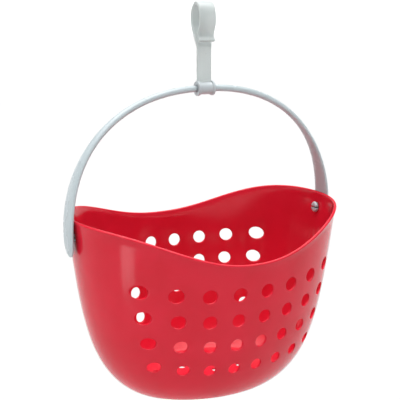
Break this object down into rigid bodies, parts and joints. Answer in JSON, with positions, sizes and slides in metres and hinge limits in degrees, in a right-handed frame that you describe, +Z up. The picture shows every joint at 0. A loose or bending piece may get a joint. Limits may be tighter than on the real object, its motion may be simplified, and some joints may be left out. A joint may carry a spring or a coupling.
{
  "type": "shower caddy",
  "caption": "Oval plastic basket with a saddle-shaped rim and round drain holes, hung from a swinging bail handle with a clip-on rail hook.",
  "frame": {"origin": "where the rail touches the inside of the hook's loop, straight above the middle of the basket", "axes": "+Z up, X along the basket from pivot to pivot, Y across it, with the hook's lip on the -Y side"},
  "size_m": [0.2818, 0.2045, 0.3692],
  "materials": {
    "basket": "gloss",
    "handle": "satin gloss",
    "hook": "satin gloss"
  },
  "bodies": {
    "hook": {"hanging_hook": "hook"},
    "handle": {"carry_handle": "handle"},
    "basket": {"basket": "basket"}
  },
  "joints": [
    {"name": "hook_swivel", "type": "hinge", "parent": "hook", "child": "handle", "pos_m": [0, 0, -0.076], "axis": [1, 0, 0], "continuous": true},
    {"name": "handle_pivot", "type": "hinge", "parent": "handle", "child": "basket", "pos_m": [0, 0, -0.2048], "axis": [1, 0, 0], "range_deg": [-90, 90]}
  ]
}
